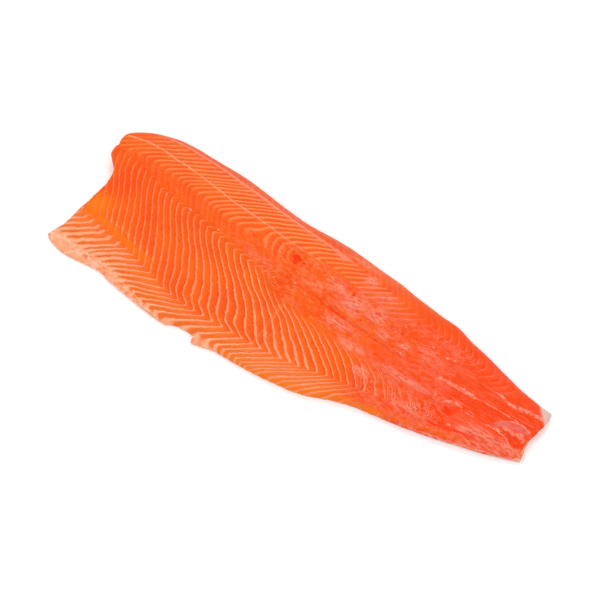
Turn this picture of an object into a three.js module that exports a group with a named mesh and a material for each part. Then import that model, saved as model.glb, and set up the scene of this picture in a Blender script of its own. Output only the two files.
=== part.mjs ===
// Raw salmon fillet: one whole side of the fish, trimmed, lying skin side down.
//
// Millimetres, +Z up. +X runs to the tail and +Y to the back of the fish. While the shape is
// worked out, x = 0 is near mid-length and y = 0 is the lateral line of the tail half. The
// finished body is then moved so that its origin is the bottom centre of its bounding box.
//
// The body is one box lattice. Its two long edges and two cut ends are smooth curves through
// named stations, the lattice is stretched between them, and each point of the top is lifted
// to the thickness of the flesh there: a thin belly flap, a thick loin, a low dome of muscle
// below the lateral line, and the furrows and lips that a filleting knife leaves.

import * as THREE from 'three';
import { mergeVertices } from 'three/addons/utils/BufferGeometryUtils.js';

const LONG_STEPS = 78;
const WIDE_STEPS = 34;
const END_CROWDING = 0.3;        // how much closer the steps lie by the two cut ends
const EDGE_CROWDING = 0.5;       // the same by the back and belly edges

// Long edges in plan, [x, y]: from the head end to the tail cut.
const BACK_EDGE = [
  [-285, 69], [-277, 78], [-264.5, 87.8], [-250.5, 94.3], [-236, 98], [-215, 99.5],
  [-185, 98.5], [-150, 98], [-120, 95], [-95, 90.5], [-65, 86.5], [-40, 84.5], [-10, 86],
  [20, 85], [60, 80.5], [85, 78], [110, 73.5], [140, 69], [165, 67], [190, 59], [215, 53],
  [240, 45.5], [265, 39], [290, 35], [303, 34],
];
const BELLY_EDGE = [
  [-286.5, -93], [-276, -98.5], [-262, -102], [-245, -102.5], [-225, -100], [-205, -99.5],
  [-185, -104], [-150, -108.5], [-120, -112], [-105, -111.5], [-92, -106.5], [-78, -105.5],
  [-60, -106.5], [-40, -108], [0, -107.5], [30, -105], [55, -101.5], [75, -96.5], [98, -87],
  [125, -79], [155, -74.5], [185, -69], [220, -61], [260, -50], [285, -41.5], [303, -34.5],
];
// Cut ends in plan, [y, x]: from the belly edge to the back edge.
const HEAD_CUT = [
  [-93, -286.5], [-84, -282.5], [-70, -278.5], [-50, -277], [-25, -274.5], [0, -272.5],
  [11, -272.5], [17, -274.5], [24, -282], [31, -288.5], [37, -289], [43, -287], [49, -288.5],
  [55, -289.5], [61, -289], [69, -285],
];
const TAIL_CUT = [
  [-34.5, 303], [-28, 302], [-15, 300], [-5, 300.5], [5, 302.5], [15, 304.5], [22, 305],
  [28, 304], [34, 303],
];
// A snip in the belly edge leaves a small flap of fat that stands out on its tail side.
const SNIP_X = -70.5;
const SNIP_WIDTH = 2.5;
const SNIP_FLAP = { reach: 10, end: -33 };

// Thickness along the fish, [x, mm].
const FLAP = [[-288, 6], [-200, 8], [-50, 9], [60, 11], [150, 12], [240, 11], [305, 7]];
const LOIN = [[-288, 18], [-250, 21], [-100, 22], [0, 19], [100, 14], [200, 8], [305, 3]];
const LOWER_MUSCLE = [[-100, 0], [40, 3], [120, 7], [200, 6], [305, 2]];
// Where the loin's crest runs, and how far it slopes down to the belly and to the back.
const CREST = [[-288, 50], [-200, 47], [-50, 42], [100, 30], [200, 20], [305, 8]];
const CREST_TO_BELLY = [[-288, 62], [-200, 72], [0, 66], [150, 50], [305, 30]];
const CREST_TO_BACK = [[-288, 62], [-200, 66], [0, 60], [150, 50], [305, 30]];
const LOWER_MUSCLE_Y = -28;
const LOWER_MUSCLE_HALF = 42;

// Edges: the top rolls over within the radius, down to this share of the flesh behind it.
const BACK_ROLL = { radius: 15, rest: 0.3 };
const BELLY_ROLL = { radius: 9, rest: 0.34 };
const CUT_ROLL = { radius: 5, rest: 0.82 };
const UNDERCUT = 2.2;            // how far the flat underside stands back from the outline

// Lateral line, [x, y], and the furrow that opens along it towards the tail.
const LATERAL_LINE = [
  [-288, 40], [-200, 31], [-125, 18], [-50, 8], [0, 3], [50, -1], [100, -5], [150, -6],
  [220, -3], [305, 0],
];
const FURROW = { depth: 1.4, half: 6, from: -20, full: 60 };
// Shallow forms on the top: centre, half sizes and rise, negative where flesh is torn out.
const BLEMISHES = [
  { name: 'nape hollow', x: -252, y: 4, along: 42, across: 26, rise: -2.6 },
  { name: 'pin bone tear', x: -23, y: 27, along: 12, across: 9, rise: -3 },
  { name: 'tail pit', x: 213, y: -31, along: 13, across: 8, rise: -2.2 },
  { name: 'tail pocket', x: 287, y: -19, along: 13, across: 11, rise: -3.2 },
  { name: 'pocket lip', x: 272, y: -14, along: 14, across: 7, rise: 1.1 },
  { name: 'tail streak', x: 274, y: 13, along: 34, across: 5, rise: 1.2 },
];

const FLESH_ORANGE = 0xf4622a;

/** Cubic through [place, value] stations, its slopes taken between each one's neighbours. */
function along(stations, place) {
  const last = stations.length - 1;
  const at = Math.min(Math.max(place, stations[0][0]), stations[last][0]);
  let i = 0;
  while (i < last - 1 && at >= stations[i + 1][0]) i += 1;
  const slope = (k) => {
    const [p0, v0] = stations[Math.max(k - 1, 0)];
    const [p1, v1] = stations[Math.min(k + 1, last)];
    return (v1 - v0) / (p1 - p0);
  };
  const [p0, v0] = stations[i];
  const [p1, v1] = stations[i + 1];
  const gap = p1 - p0;
  const t = (at - p0) / gap;
  const rest = 1 - t;
  return v0 * (1 + 2 * t) * rest * rest + slope(i) * gap * t * rest * rest
    + v1 * t * t * (3 - 2 * t) - slope(i + 1) * gap * t * t * rest;
}

/** 1 at the centre and 0 from `below` under it or `above` over it, with smooth ends. */
function dome(offset, below, above) {
  const share = offset < 0 ? offset / below : offset / above;
  return Math.max(1 - share * share, 0) ** 2;
}

/** A quarter round: `rest` at the edge itself, 1 from `radius` inwards. */
function roll({ radius, rest }, inwards) {
  const t = 1 - Math.min(Math.max(inwards / radius, 0), 1);
  return rest + (1 - rest) * Math.sqrt(1 - t * t);
}

const mix = THREE.MathUtils.lerp;
const ease = THREE.MathUtils.smoothstep;

/** The place a given share of the way through a list of [place, value] stations. */
function placeAt(stations, share) {
  return mix(stations[0][0], stations[stations.length - 1][0], share);
}

/** Plan position for u from head to tail and v from belly to back, each 0 to 1. */
function plan(u, v) {
  const bellyX = placeAt(BELLY_EDGE, u);
  const flap = ease(bellyX, SNIP_X, SNIP_X + SNIP_WIDTH) * (1 - ease(bellyX, SNIP_X, SNIP_FLAP.end));
  const bellyY = along(BELLY_EDGE, bellyX) - SNIP_FLAP.reach * flap;
  const backY = along(BACK_EDGE, placeAt(BACK_EDGE, u));
  const headX = along(HEAD_CUT, placeAt(HEAD_CUT, v));
  const tailX = along(TAIL_CUT, placeAt(TAIL_CUT, v));
  return { x: mix(headX, tailX, u), y: mix(bellyY, backY, v), bellyY, backY, headX, tailX };
}

/** Height of the flesh over the flat underside. */
function height({ x, y, bellyY, backY, headX, tailX }) {
  const loin = along(LOIN, x)
    * dome(y - along(CREST, x), along(CREST_TO_BELLY, x), along(CREST_TO_BACK, x));
  const lower = along(LOWER_MUSCLE, x)
    * dome(y - LOWER_MUSCLE_Y, LOWER_MUSCLE_HALF, LOWER_MUSCLE_HALF);
  const furrow = FURROW.depth * ease(x, FURROW.from, FURROW.full)
    * dome(y - along(LATERAL_LINE, x), FURROW.half, FURROW.half);
  const marks = BLEMISHES.reduce((sum, mark) => {
    const away = Math.hypot((x - mark.x) / mark.along, (y - mark.y) / mark.across);
    return sum + mark.rise * dome(away, 1, 1);
  }, 0);
  const flesh = along(FLAP, x) + loin + lower - furrow + marks;
  return flesh * roll(BACK_ROLL, backY - y) * roll(BELLY_ROLL, y - bellyY)
    * roll(CUT_ROLL, Math.min(x - headX, tailX - x));
}

/** Crowds evenly spaced shares towards 0 and 1. */
function crowd(share, amount) {
  return share - amount * Math.sin(2 * Math.PI * share) / (2 * Math.PI);
}

/** The closed body: a unit box lattice whose top is lifted and whose underside stays flat. */
function filletBody() {
  const body = new THREE.BoxGeometry(1, 1, 1, LONG_STEPS, WIDE_STEPS, 1);
  const points = body.getAttribute('position');
  for (let i = 0; i < points.count; i += 1) {
    const u = crowd(points.getX(i) + 0.5, END_CROWDING);
    const v = crowd(points.getY(i) + 0.5, EDGE_CROWDING);
    const spot = plan(u, v);
    if (points.getZ(i) > 0) {
      points.setXYZ(i, spot.x, spot.y, height(spot));
    } else {
      const inX = UNDERCUT * (1 - 2 * u);
      const inY = UNDERCUT * (1 - 2 * v);
      points.setXYZ(i, spot.x + inX, spot.y + inY, 0);
    }
  }
  body.deleteAttribute('normal');
  body.deleteAttribute('uv');
  const closed = mergeVertices(body);
  closed.computeBoundingBox();
  const middle = closed.boundingBox.getCenter(new THREE.Vector3());
  closed.translate(-middle.x, -middle.y, 0);
  closed.computeVertexNormals();
  return closed;
}

const fillet = new THREE.Mesh(
  filletBody(),
  new THREE.MeshStandardMaterial({ color: FLESH_ORANGE, roughness: 0.35, metalness: 0 }),
);
fillet.name = 'fillet';

const group = new THREE.Group();
group.add(fillet);

export default group;
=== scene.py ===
# %% [markdown]
# # Raw salmon fillet
#
# One whole side of salmon, raw and trimmed, lies skin side down. It is 59 cm long, 21 cm wide
# and 3 cm thick at the loin. Two pieces are made here: the flesh, which is nearly all that
# shows, and the skin under it. The plain solid that they stand for is already in the frame.
#
# Everything is worked out in millimetres on the fish itself: x runs from the head end to the
# tail, and y from the belly to the back, with y = 0 near the lateral line of the tail half.

import math

import bmesh
import bpy
import numpy as np
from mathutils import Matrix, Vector


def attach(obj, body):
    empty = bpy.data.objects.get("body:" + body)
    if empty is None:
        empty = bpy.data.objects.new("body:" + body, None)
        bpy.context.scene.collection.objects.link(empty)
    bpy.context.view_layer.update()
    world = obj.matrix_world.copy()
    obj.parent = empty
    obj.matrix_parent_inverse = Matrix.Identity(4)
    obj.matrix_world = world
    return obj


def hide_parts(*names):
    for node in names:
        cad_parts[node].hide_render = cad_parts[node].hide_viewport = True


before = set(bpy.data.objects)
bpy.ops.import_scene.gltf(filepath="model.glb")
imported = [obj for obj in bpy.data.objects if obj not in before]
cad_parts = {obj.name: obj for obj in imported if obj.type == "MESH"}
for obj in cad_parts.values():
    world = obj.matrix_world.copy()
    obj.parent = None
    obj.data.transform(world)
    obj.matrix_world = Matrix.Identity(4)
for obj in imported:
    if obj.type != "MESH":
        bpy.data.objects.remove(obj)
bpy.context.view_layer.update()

# %% [markdown]
# A fish has no straight lines, so each edge, crest and seam is a smooth curve through a few
# measured stations. A Bezier object could hold such a curve, but a plain function can be asked
# for thousands of points at once, which is what shaping a whole skin of vertices needs.

# %% Curves through stations, and soft steps
def along(stations, place):
    """Smooth curve through [place, value] stations, level with their neighbours' slopes."""
    table = np.asarray(stations, float)
    at, value = table[:, 0], table[:, 1]
    slope = np.gradient(value)
    slope[1:-1] = (value[2:] - value[:-2]) / (at[2:] - at[:-2])
    slope[0] = (value[1] - value[0]) / (at[1] - at[0])
    slope[-1] = (value[-1] - value[-2]) / (at[-1] - at[-2])
    place = np.clip(place, at[0], at[-1])
    i = np.clip(np.searchsorted(at, place, side="right") - 1, 0, len(at) - 2)
    gap = at[i + 1] - at[i]
    t = (place - at[i]) / gap
    rest = 1 - t
    return (value[i] * (1 + 2 * t) * rest**2 + slope[i] * gap * t * rest**2
            + value[i + 1] * t**2 * (3 - 2 * t) - slope[i + 1] * gap * t**2 * rest)


def ease(value, low, high):
    """0 below low, 1 above high, smooth between."""
    t = np.clip((value - low) / (high - low), 0, 1)
    return t * t * (3 - 2 * t)


def dome(offset, below, above):
    """1 at the centre and 0 from `below` under it or `above` over it."""
    share = np.where(offset < 0, offset / below, offset / above)
    return np.maximum(1 - share**2, 0) ** 2


def mix(low, high, share):
    return low + (high - low) * share


def ruffle(x, y, size, seed):
    """Soft random waves about `size` long, between -1 and 1 or so."""
    draw = np.random.default_rng(seed)
    total = 0
    for turn, start, stretch in draw.uniform(0, 1, (8, 3)):
        wave = 2 * math.pi / (size * (0.7 + 0.8 * stretch))
        turn *= 2 * math.pi
        total = total + np.sin((x * math.cos(turn) + y * math.sin(turn)) * wave + 7 * start)
    return total / 3.2


print("halfway up a soft step:", ease(0.5, 0, 1))

# %% [markdown]
# The outline is that of the trimmed side seen from above: a blunt, uneven cut behind the head,
# a long back edge, a belly edge with a snip in it, and a narrow tail cut. These are the same
# stations that the solid was made from, so the flesh fills the solid's outline, but for nicks
# of a quarter of a millimetre.

# %% Outline stations, mm
BACK_EDGE = [
    (-285, 69), (-277, 78), (-264.5, 87.8), (-250.5, 94.3), (-236, 98), (-215, 99.5),
    (-185, 98.5), (-150, 98), (-120, 95), (-95, 90.5), (-65, 86.5), (-40, 84.5), (-10, 86),
    (20, 85), (60, 80.5), (85, 78), (110, 73.5), (140, 69), (165, 67), (190, 59), (215, 53),
    (240, 45.5), (265, 39), (290, 35), (303, 34)]
BELLY_EDGE = [
    (-286.5, -93), (-276, -98.5), (-262, -102), (-245, -102.5), (-225, -100), (-205, -99.5),
    (-185, -104), (-150, -108.5), (-120, -112), (-105, -111.5), (-92, -106.5), (-78, -105.5),
    (-60, -106.5), (-40, -108), (0, -107.5), (30, -105), (55, -101.5), (75, -96.5), (98, -87),
    (125, -79), (155, -74.5), (185, -69), (220, -61), (260, -50), (285, -41.5), (303, -34.5)]
HEAD_CUT = [
    (-93, -286.5), (-84, -282.5), (-70, -278.5), (-50, -277), (-25, -274.5), (0, -272.5),
    (11, -272.5), (17, -274.5), (24, -282), (31, -288.5), (37, -289), (43, -287),
    (49, -288.5), (55, -289.5), (61, -289), (69, -285)]
TAIL_CUT = [
    (-34.5, 303), (-28, 302), (-15, 300), (-5, 300.5), (5, 302.5), (15, 304.5), (22, 305),
    (28, 304), (34, 303)]
SNIP_X, SNIP_WIDTH = -70.5, 2.5
SNIP_REACH, SNIP_END = 8.6, -33
RAGGED = 0.25                    # how far the knife's small nicks go in


def first_to_last(stations, share):
    return mix(stations[0][0], stations[-1][0], share)


def plan(u, v):
    """Place for u from head to tail and v from belly to back, and the four edges about it."""
    belly_x, back_x = first_to_last(BELLY_EDGE, u), first_to_last(BACK_EDGE, u)
    head_y, tail_y = first_to_last(HEAD_CUT, v), first_to_last(TAIL_CUT, v)
    flap = ease(belly_x, SNIP_X, SNIP_X + SNIP_WIDTH) * (1 - ease(belly_x, SNIP_X, SNIP_END))
    belly = along(BELLY_EDGE, belly_x) - SNIP_REACH * flap
    belly = belly + RAGGED * (1 + ruffle(belly_x, 0, 9, 1))
    back = along(BACK_EDGE, back_x) - RAGGED / 2 * (1 + ruffle(back_x, 0, 30, 2))
    head = along(HEAD_CUT, head_y) + RAGGED * (1 + ruffle(0, head_y, 7, 3))
    tail = along(TAIL_CUT, tail_y) - RAGGED * (1 + ruffle(0, tail_y, 6, 4))
    return mix(head, tail, u), mix(belly, back, v), belly, back, head, tail


HEAD_END, TAIL_END = min(x for y, x in HEAD_CUT), max(x for y, x in TAIL_CUT)
BACK_TOP, BELLY_LOW = max(y for x, y in BACK_EDGE), -114.5    # the snip's flap hangs lowest
MIDDLE = ((HEAD_END + TAIL_END) / 2, (BACK_TOP + BELLY_LOW) / 2)
print("middle of the outline's box:", MIDDLE)

# %% [markdown]
# The thickness is a thin belly flap all over, with the loin standing on it as a long dome near
# the back, and a low dome of muscle below the lateral line of the tail half. The surface rolls
# over at the edges. A sculpted mesh could look the same, but sums of domes can be read and
# changed one by one.

# %% Thickness of the flesh, mm
FLAP = [(-288, 6), (-200, 8), (-50, 9), (60, 11), (150, 12), (240, 11), (305, 7)]
LOIN = [(-288, 18), (-250, 21), (-100, 22), (0, 19), (100, 14), (200, 8), (305, 3)]
LOWER_MUSCLE = [(-100, 0), (40, 3), (120, 7), (200, 6), (305, 2)]
CREST = [(-288, 50), (-200, 47), (-50, 42), (100, 30), (200, 20), (305, 8)]
CREST_TO_BELLY = [(-288, 62), (-200, 72), (0, 66), (150, 50), (305, 30)]
CREST_TO_BACK = [(-288, 62), (-200, 66), (0, 60), (150, 50), (305, 30)]
LATERAL_LINE = [
    (-288, 40), (-200, 31), (-125, 18), (-50, 8), (0, 3), (50, -1), (100, -5), (150, -6),
    (220, -3), (305, 0)]
# Centre x and y, half sizes and rise of the hollows and lips that the knife left.
BLEMISHES = [
    (-252, 4, 42, 26, -2.6), (-23, 27, 12, 9, -3), (213, -31, 13, 8, -2.2),
    (287, -19, 13, 11, -3.2), (272, -14, 14, 7, 1.1), (274, 13, 34, 5, 1.2)]


def roll(radius, rest, inwards):
    """Quarter round: `rest` at the edge itself, 1 from `radius` inwards."""
    t = 1 - np.clip(inwards / radius, 0, 1)
    return rest + (1 - rest) * np.sqrt(1 - t * t)


def thickness(x, y, belly, back, head, tail):
    loin = along(LOIN, x) * dome(
        y - along(CREST, x), along(CREST_TO_BELLY, x), along(CREST_TO_BACK, x))
    lower = along(LOWER_MUSCLE, x) * dome(y + 28, 42, 42)
    furrow = 1.4 * ease(x, -20, 60) * dome(y - along(LATERAL_LINE, x), 6, 6)
    marks = sum(rise * dome(np.hypot((x - at_x) / long, (y - at_y) / wide), 1, 1)
                for at_x, at_y, long, wide, rise in BLEMISHES)
    flesh = along(FLAP, x) + loin + lower - furrow + marks
    cuts = np.minimum(x - head, tail - x)
    return flesh * roll(15, 0.3, back - y) * roll(9, 0.34, y - belly) * roll(5, 0.82, cuts)


middle_spot = plan(np.array([0.5]), np.array([0.8]))
print("thickness of the loin at mid-length:", thickness(*middle_spot).round(1))

# %% [markdown]
# Salmon muscle is a stack of W-shaped blocks, one to each vertebra, and thin sheets of fat lie
# between them. On the cut side each sheet shows as a pale line. The lines lean tailward over
# the side, kink at the top of the belly and again near the lateral line, and above the white
# seam over the loin they run the other way. A texture could not follow that, so each vertex
# gets a count of the lines passed on the way from the head: wherever it is a whole number,
# there is a line. At the nape the belly has lines of its own, which join the side's farther
# back.

# %% Where the pale lines cross the side
LINE_AT = [                      # where the lines cross the level y = -40, [x, line]
    (-300, -5.6), (-262, -1.1), (-252, 0), (-242.5, 1), (-227, 3), (-208, 5), (-190.6, 7),
    (-172, 9), (-152.5, 11), (-133.6, 13), (-114, 15), (-93, 17), (-71, 19), (-47.5, 21),
    (-24.2, 23), (0, 25), (22, 27), (46, 29), (69.5, 31), (95, 33), (122, 35), (150, 37.5),
    (200, 42), (305, 52)]
LEVELS = [-80, -75, -70, -60, -50, -40, -30, -20, -10, 0, 10, 20, 30, 40]
LEANS = {                        # how far a line has moved tailward at each level, by its x
    -250: [16, 13, 10, 5, 2, 0, -5.5, -10, -15, -20, -26, -31.5, -34, -35],
    -220: [25, 21.5, 18, 11.5, 5.5, 0, -5.5, -10, -15, -20, -26, -31.5, -34, -35],
    -130: [24, 18.3, 13.6, 9.6, 5.8, 0, -6, -12.5, -21, -29, -36, -38, -39, -40],
    -65: [36, 26, 19, 13.6, 8.6, 0, -8, -19, -31, -40.5, -45, -47, -49, -50],
    0: [44, 38, 30.5, 21, 10.5, 0, -12.5, -28, -39.5, -51, -60, -66, -70, -74],
    46: [50, 44, 38, 28.5, 14.5, 0, -14, -33, -50, -66, -80, -90, -95, -100],
    105: [27, 24.5, 22, 16, 9, 0, -17, -38, -56, -70, -84, -94, -100, -105]}
print("lines from head to tail:", round(LINE_AT[-1][1] - LINE_AT[0][1], 1))

# %% [markdown]
# Two kinks bend the lines. Under the belly kink they run headward on their way down, and at
# last turn down into the belly edge. Over the side kink they run tailward. Each kink is a
# curve along the fish, because its height changes all the way from the head to the tail.

# %% The two kinks of the lines
BELLY_KINK = [
    (-290, -44), (-253, -47), (-234, -52), (-210, -56.5), (-197, -58.5), (-186, -62),
    (-165, -68), (-144, -73.2), (-131, -77), (-121, -79.2), (-98, -82), (-61, -81.7),
    (-22, -80), (2, -79), (27, -77), (49, -74), (58, -72.5), (70, -69), (82, -67),
    (102, -64), (150, -56), (200, -47), (305, -31)]
BELLY_LEAN = [
    (-290, 1.3), (-243, 1.35), (-210, 1.4), (-197, 1.6), (-186, 1.95), (-165, 2.4),
    (-144, 2.35), (-121, 2.7), (-97, 2.3), (-73, 1.9), (-47, 1.52), (-30, 1.35), (-10, 1.33),
    (5, 1.42), (30, 1.52), (60, 1.55), (80, 1.4), (105, 1.2), (305, 1.1)]
BELLY_SWEEP = [                  # and how much less they lean, mm by mm, farther down
    (-290, 0), (-215, 0.002), (-197, 0.011), (-186, 0.018), (-165, 0.03), (-154, 0.015),
    (-140, 0.004), (-125, 0), (305, 0)]
BELLY_LINE_AT = [                # where the belly's own lines start at the nape, [x, line]
    (-290, -4), (-272, -2), (-253, 0), (-243, 1), (-234, 2), (-222.5, 3), (-210, 4),
    (-197.5, 5), (-186, 6), (-176, 7), (305, 55)]
UPRIGHT = 7                      # there they first stand nearly upright, this far
BELLY_TURN = [                   # where the lines turn down into the belly edge
    (-290, -80), (-250, -85), (-200, -89), (-180, -93), (-160, -97.5), (-140, -101.5),
    (-110, -105.5), (-90, -103), (-60, -101), (-20, -102), (0, -105), (30, -112), (305, -112)]
SIDE_KINK = [
    (-290, 44), (-247, 36), (-233, 31), (-222, 26), (-207, 21), (-198, 20), (-189, 18.7),
    (-170, 14.7), (-151, 14.7), (-143, 12), (-134, 10), (-123, 8.3), (-114, 7.7), (-105, 5.7),
    (-94, 3.7), (-83, 2.3), (-73, 1), (-52, -0.5), (-31, 0), (0, -3), (60, -8), (120, -14),
    (305, -20)]
HOOK_LEAN = 2.5                  # how fast the lines run tailward above the side kink
print("from kink to kink at mid-length, mm:", float(along(SIDE_KINK, 0) - along(BELLY_KINK, 0)))

# %% [markdown]
# Where a line crosses one level is known, but the count is wanted at any point. The way back
# is found by trying: a guess of where the point's own line crosses that level is mended a
# dozen times or more, until it hardly moves. An exact answer would need every curve turned
# inside out.

# %% Count of the lines at any point
def lean(line_x, y):
    """How far tailward of its own x a line lies at height y."""
    places = sorted(LEANS)
    line_x = np.clip(line_x, places[0], places[-1])
    total = 0
    for i, place in enumerate(places):
        weight = np.interp(line_x, places, [float(i == j) for j in range(len(places))])
        total = total + weight * along(list(zip(LEVELS, LEANS[place])), y)
    return total


def side_count(x, y):
    line_x = x
    for _ in range(14):
        line_x = (line_x + x - lean(line_x, y)) / 2
    return along(LINE_AT, line_x)


def line_count(x, y):
    """Lines passed from the head to (x, y), with both kinks."""
    turned = np.maximum(along(BELLY_TURN, x) - y, 0)
    turned = turned**2 / (turned + 3)
    kink_x = x
    for _ in range(20):
        below = np.maximum(along(BELLY_KINK, kink_x) - y - turned, 0)
        upright = UPRIGHT * (1 - ease(kink_x, -215, -190))
        down = np.maximum(below - upright, 0)
        foot = (x + along(BELLY_LEAN, kink_x) * down - along(BELLY_SWEEP, kink_x) * down**2
                + 0.3 * np.minimum(below, upright) - 0.6 * turned)
        kink_x = 0.7 * kink_x + 0.3 * foot
    belly = mix(along(BELLY_LINE_AT, kink_x), side_count(kink_x, along(BELLY_KINK, kink_x)),
                ease(kink_x, -200, -185))
    hook_x = x
    for _ in range(12):
        above = np.maximum(y - along(SIDE_KINK, hook_x), 0)
        hook_x = 0.6 * hook_x + 0.4 * (x - HOOK_LEAN * above)
    count = np.where(y < along(BELLY_KINK, x), belly, side_count(x, y))
    return np.where(y > along(SIDE_KINK, x), side_count(hook_x, along(SIDE_KINK, hook_x)), count)


two_places = np.array([-100.0, 40.0])
print("count at two places:", line_count(two_places, np.array([-50.0, -50.0])).round(2))

# %% [markdown]
# On both sides of the white seam over the loin, the same sheets of fat come up as finer lines
# that lean the other way. Under the seam they swing back down towards the side, and along the
# back edge they turn in hairs.

# %% Count of the fine lines over the loin
LOIN_LINE_AT = [                 # where they cross the level y = 55, [x, line]
    (-297, -6), (-231, 0), (-198, 3), (-177, 5), (-151, 8), (-118, 11), (-90.5, 14), (-55, 17),
    (-22.4, 20), (13.1, 23), (56.6, 27), (101, 31), (123.5, 33), (171.7, 37), (216.4, 41),
    (269, 45), (300, 48)]
LOIN_LEAN = [
    (20, -30), (30, -24.5), (35, -20.5), (40, -18.5), (45, -14), (50, -7.5), (55, 0), (60, 7.5),
    (65, 14.5), (70, 21.5), (75, 27.5), (80, 32.5), (100, 50)]
BACK_KINK = [
    (-290, 80), (-260, 84), (-230, 85), (-200, 85), (-150, 82), (-100, 77), (-50, 72), (0, 67),
    (40, 62), (80, 55), (114, 48), (136, 46), (156, 41.5), (176, 38.5), (196, 35.6), (217, 28),
    (240, 22.7), (264, 17), (305, 10)]
BACK_LEAN = 0.7
STRAIGHT_LEAN = 1.42             # of the lines below y = 45 in the tail half
LOIN_SEAM = [
    (-290, 58), (-280, 60), (-270, 61.5), (-258, 63.5), (-240, 64), (-230, 63.5), (-220, 62),
    (-200, 60.5), (-180, 58), (-165, 56), (-150, 53.5), (-140, 52), (-130, 50), (-110, 48),
    (-100, 47.5), (-80, 46), (-70, 45), (-55, 43), (-40, 41.5), (-20, 41), (20, 38), (305, 0)]
ARC_SWING = [                    # how far headward the lines swing, by how far they are under
    (0, 0), (8, 11.6), (15, 21.8), (18, 25.3), (21, 26), (26, 23), (34, 17), (60, 0)]
TIGHT_SWING = [(0, 0), (3, 4), (6, 6.5), (10, 7.5), (14, 7), (20, 4), (60, -20)]


def loin_count(x, y):
    kink_x = x
    for _ in range(14):
        kink_x = 0.6 * kink_x + 0.4 * (x + BACK_LEAN * (y - along(BACK_KINK, kink_x)))
    seam = along(LOIN_SEAM, x)
    hair = along(LOIN_LINE_AT, kink_x - along(LOIN_LEAN, along(BACK_KINK, kink_x)))
    under = np.maximum(seam - y, 0)
    swing = mix(along(ARC_SWING, under), along(TIGHT_SWING, under), ease(x, -95, -60))
    height = np.maximum(y, mix(seam, y, ease(x, 0, 30)))
    curved = along(LOIN_LEAN, height)
    straight = np.where(
        height < 45, along(LOIN_LEAN, 45) - STRAIGHT_LEAN * (45 - height), curved)
    leaning = mix(curved, straight, ease(x, 0, 40))
    plain = along(LOIN_LINE_AT, x + swing * (1 - ease(x, 0, 30)) - leaning)
    round_off = mix(0.04, 0.3, ease(x, 30, 90)) + 0.7 * ease(x, 140, 210)
    return (hair + plain + np.sqrt((hair - plain) ** 2 + round_off**2)) / 2


print("loin count there:", loin_count(two_places, np.array([55.0, 55.0])).round(2))

# %% [markdown]
# Other marks belong to single places: the knobbly seam over the loin, the pink fat of the
# belly edge, the dark red furrow and small tears, the golden flap at the nape, the wet patches
# with their painted pink sheen and the scraps of silverskin at the tail. Each is a soft spot or a
# stripe along a curve, kept as a value of 0 to 1 or a little more on every vertex, and the finish
# turns these values into colour. Painting them by hand would look as good, but could not be changed
# by number.

# %% Spots and stripes
def spot(x, y, at_x, at_y, half_long, half_wide, strength=1.0, turn=0.0):
    """Soft ellipse: centre and half sizes in mm, turned by an angle in degrees."""
    c, s = math.cos(math.radians(turn)), math.sin(math.radians(turn))
    dx, dy = x - at_x, y - at_y
    away = np.hypot((dx * c + dy * s) / half_long, (dy * c - dx * s) / half_wide)
    return strength * dome(away, 1, 1)


def stripe(x, y, half, strength, line, fade=7.0):
    """Soft stripe along a curve of [x, y] stations, fading out at its two ends."""
    first, last = line[0][0], line[-1][0]
    fade = min(fade, (last - first) / 2)
    ends = ease(x, first, first + fade) * (1 - ease(x, last - fade, last))
    return strength * dome(y - along(line, x), half, half) * ends


def gather(x, y, stripes=(), spots=()):
    """The strongest of several stripes and spots at each point."""
    values = [stripe(x, y, *one) for one in stripes] + [spot(x, y, *one) for one in spots]
    return np.maximum.reduce(values)


BACK_RIM = [
    (-290, 76), (-262, 84), (-240, 88), (-220, 89.5), (-200, 88.5), (-180, 87.5), (-160, 85.5),
    (-140, 82.5), (-120, 80), (-100, 77), (-80, 74), (-60, 71.5), (-30, 68.5), (0, 66),
    (40, 61), (80, 55), (136, 46), (196, 35.6), (240, 22.7), (305, 10)]
BELLY_FAT = [                    # the inner side of the band of fat along the belly edge
    (-290, -83), (-275, -84), (-240, -88), (-210, -90.5), (-180, -96), (-160, -100.5),
    (-140, -105), (-120, -109.5), (-105, -112), (-76, -107), (-68, -104), (-45, -107.5),
    (-20, -110), (305, -110)]
EDGE_MEAT = (                    # orange meat along the outer edge of that band
    3.6, 1, [(-250, -100.5), (-225, -97), (-200, -96.5), (-185, -100), (-165, -103.5),
             (-145, -106)])
print("seam to back kink at mid-length, mm:", float(along(BACK_KINK, 0) - along(LOIN_SEAM, 0)))

# %% [markdown]
# The tables below hold the single marks. Stripes are half width, strength and the curve's
# stations; spots are centre, half sizes, strength and turn.

# %% Stripes and spots of fat and sinew, and painted glints
FAT_STRIPES = [
    (3.2, 0.55, [(-289, 57), (-276, 60), (-262, 63), (-244, 64)]),       # end of the loin seam
    (1.4, 0.8, [(284, 35), (291, 27), (297, 21), (304, 17)]),            # rim of the tail film
    (1.2, 0.55, [(-264, -18), (-251, -33), (-236, -39), (-217, -41), (-200, -45)]),
    (1.1, 0.5, [(-208, -44), (-189, -48.5), (-171, -53), (-152, -60)]),
]
FAT_SPOTS = [
    (-162, 16.5, 5, 1.8, 0.8, 8), (-120, 12.5, 4, 2.2, 0.8), (-97, 8, 2.6, 1.6, 0.6),
    (-44, 5, 3.4, 2, 0.8, 30), (-30, 6.5, 7, 1.5, 0.65), (-10, 5.5, 4, 2, 0.8),
    (-274, -43, 3, 5, 0.8), (301, -17, 4.4, 20, 1.3), (143, 25, 4, 2.4, 0.6, 20),
    (300, -35.5, 9, 4, 1.2, 15),
]
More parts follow.
